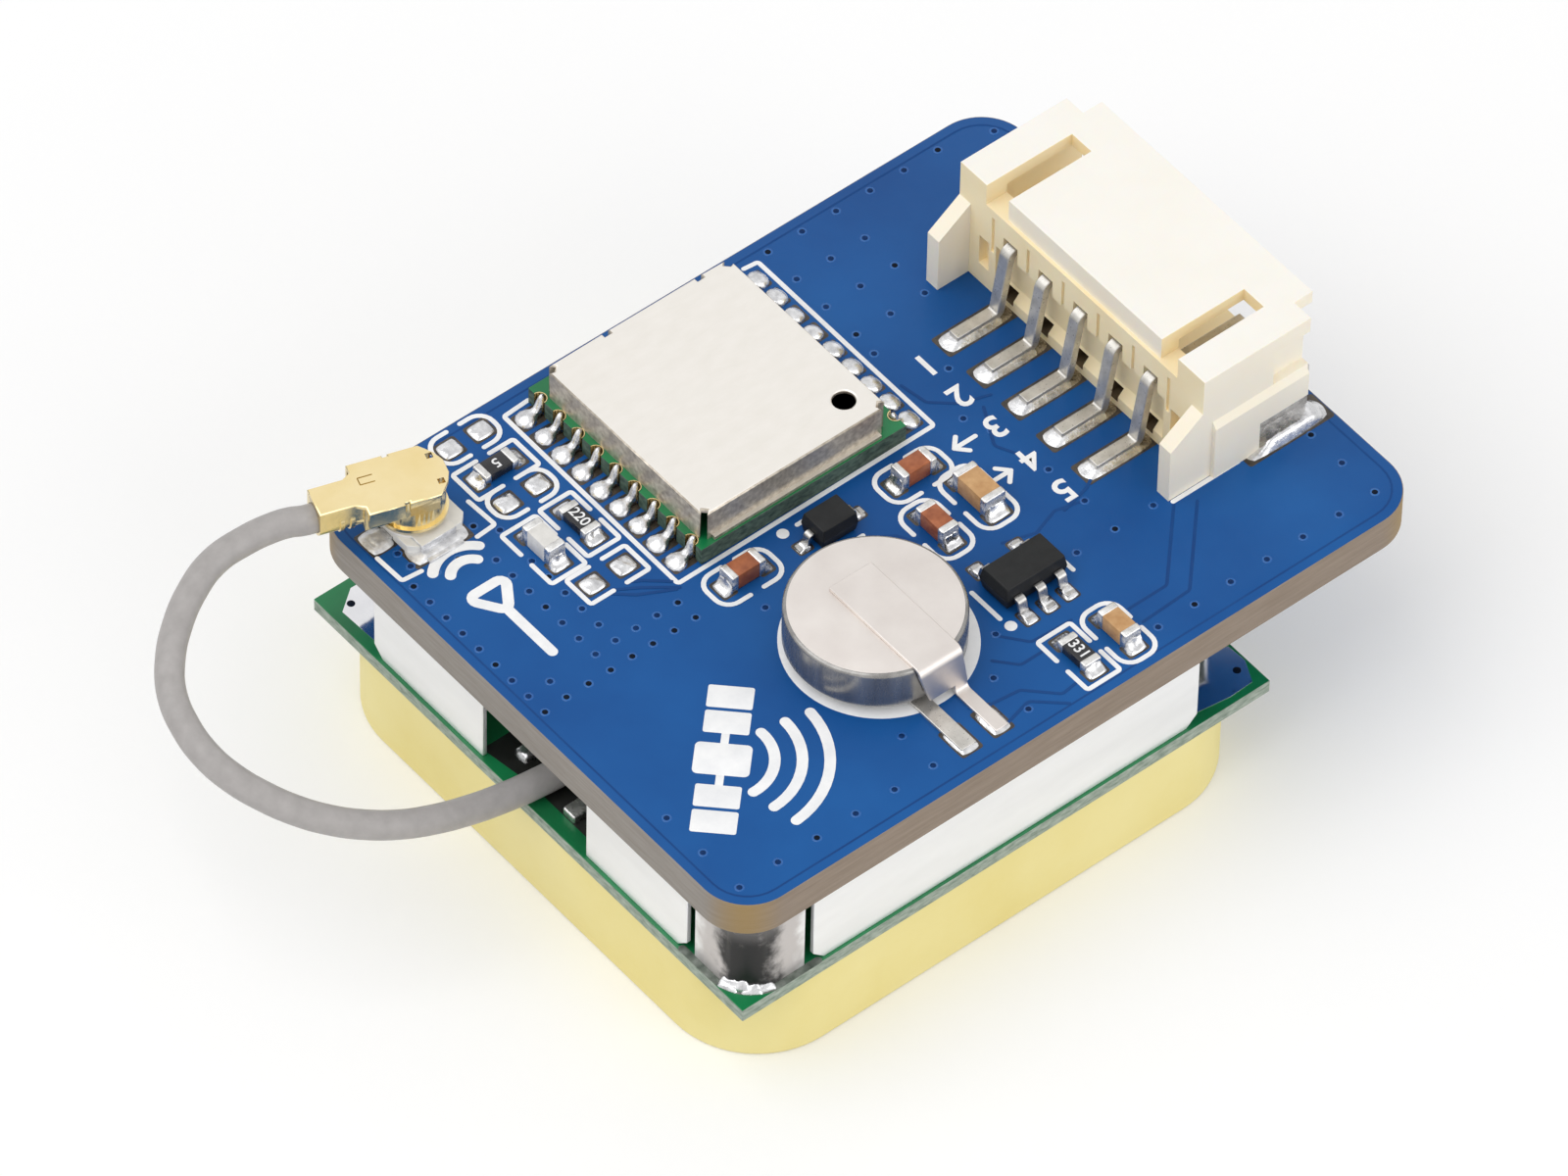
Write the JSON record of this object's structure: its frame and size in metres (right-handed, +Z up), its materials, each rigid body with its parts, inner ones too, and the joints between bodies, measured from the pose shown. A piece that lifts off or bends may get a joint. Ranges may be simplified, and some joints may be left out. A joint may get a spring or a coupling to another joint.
{
  "type": "gps module",
  "caption": "Satellite positioning module: a receiver board with a wire connector, backup cell and coax lead, carried on a square ceramic patch antenna.",
  "frame": {"origin": "centre of the main board's outline, on the surface that the antenna's ceramic rests on", "axes": "+X along the board's long side towards the connector's mouth, +Y along its short side, +Z up from the ceramic to the connector"},
  "size_m": [0.0426, 0.025, 0.0153],
  "materials": {
    "blue_mask": "satin blue solder mask on glass-fibre board",
    "tape": "thin foam mounting tape",
    "patch_ceramic": "matte fired ceramic",
    "silver_film": "fired silver film",
    "green_mask": "green solder mask on glass-fibre board",
    "tin_plate": "satin tin-plated sheet",
    "tin_contact": "bright tin-plated strip",
    "solder": "bright reflowed solder",
    "black_epoxy": "moulded black epoxy",
    "resonator": "ceramic and metal lidded package",
    "ivory_plastic": "moulded ivory nylon",
    "white_plastic": "moulded white plastic",
    "gold_plate": "gold-plated sheet",
    "cell_steel": "satin top and polished side",
    "grey_jacket": "smooth grey cable jacket",
    "brown_ceramic": "brown chip ceramic with tinned ends",
    "tan_ceramic": "tan chip ceramic with tinned ends",
    "chip_black": "black glazed chip with tinned ends",
    "pale_ceramic": "pale chip ceramic with tinned ends"
  },
  "bodies": {
    "root": {"main_board": "blue_mask", "mounting_tape": "tape", "antenna_ceramic": "patch_ceramic", "antenna_electrode": "silver_film", "antenna_feed_pin": "tin_contact", "antenna_board": "green_mask", "antenna_shield": "tin_plate", "antenna_amplifier": "black_epoxy", "antenna_filter": "resonator", "antenna_chips": "brown_ceramic", "antenna_feed_solder": "solder", "shield_solder": "solder", "coax_solder": "solder", "receiver_board": "green_mask", "receiver_shield": "tin_plate", "receiver_chip": "black_epoxy", "receiver_clock": "resonator", "receiver_filter": "resonator", "receiver_solder": "solder", "connector_housing": "ivory_plastic", "connector_pin_1": "tin_contact", "connector_pin_2": "tin_contact", "connector_pin_3": "tin_contact", "connector_pin_4": "tin_contact", "connector_pin_5": "tin_contact", "connector_tabs": "tin_contact", "connector_solder": "solder", "backup_cell": "cell_steel", "cell_upper_tab": "tin_contact", "cell_lower_tab": "tin_contact", "cell_solder": "solder", "socket_base": "white_plastic", "socket_shell": "gold_plate", "socket_contact": "gold_plate", "socket_solder": "solder", "plug_shell": "gold_plate", "plug_insulator": "white_plastic", "plug_contact": "gold_plate", "coax_lead": "grey_jacket", "coax_braid": "tin_contact", "coax_dielectric": "white_plastic", "coax_core": "tin_contact", "diode_body": "black_epoxy", "diode_leads": "tin_contact", "regulator_body": "black_epoxy", "regulator_leads": "tin_contact", "capacitor_1": "brown_ceramic", "capacitor_2": "brown_ceramic", "capacitor_3": "brown_ceramic", "capacitor_4": "tan_ceramic", "capacitor_5": "tan_ceramic", "resistor_1": "chip_black", "resistor_2": "chip_black", "resistor_3": "chip_black", "choke": "pale_ceramic", "chip_solder": "solder", "pad_solder": "solder"}
  },
  "joints": []
}
